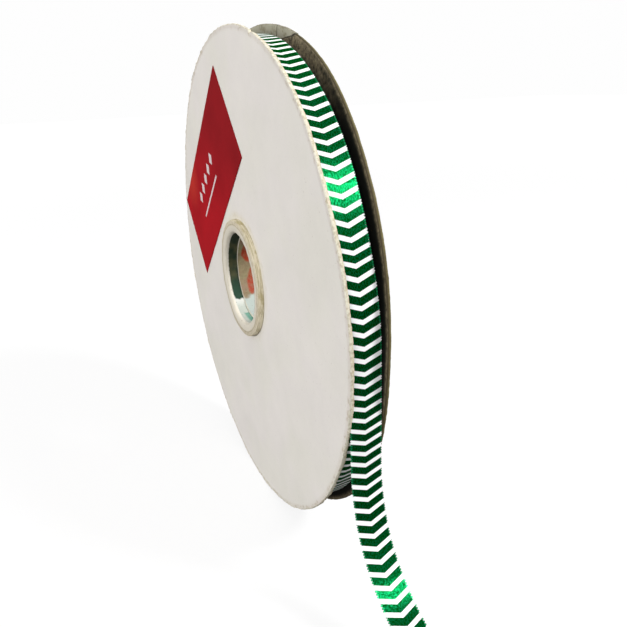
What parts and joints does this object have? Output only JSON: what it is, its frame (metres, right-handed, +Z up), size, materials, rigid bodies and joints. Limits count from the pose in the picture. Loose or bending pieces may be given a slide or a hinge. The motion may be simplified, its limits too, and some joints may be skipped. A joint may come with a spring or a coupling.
{
  "type": "roll of satin ribbon on a card spool",
  "caption": "Narrow satin ribbon wound on a flat card spool with a tube through its middle, the loose end hanging from the front and running out level.",
  "frame": {"origin": "middle of the whole thing's footprint, on the surface that the roll stands on", "axes": "+Z up, +Y along the spool's axis from the labelled disc to the back disc, +X the way the loose end runs out"},
  "size_m": [0.272, 0.0172, 0.1749],
  "materials": {
    "grey_card": "matt grey-white card with raw cut edges",
    "tube_card": "raw rolled card, buff and olive brown",
    "satin": "green satin ribbon with printed white chevrons",
    "label_paper": "dark red coated paper with a small white row of lozenges over a rule"
  },
  "bodies": {
    "root": {"flange_front": "grey_card", "flange_back": "grey_card", "core": "tube_card", "ribbon_roll": "satin", "ribbon_tail": "satin", "label": "label_paper"}
  },
  "joints": []
}
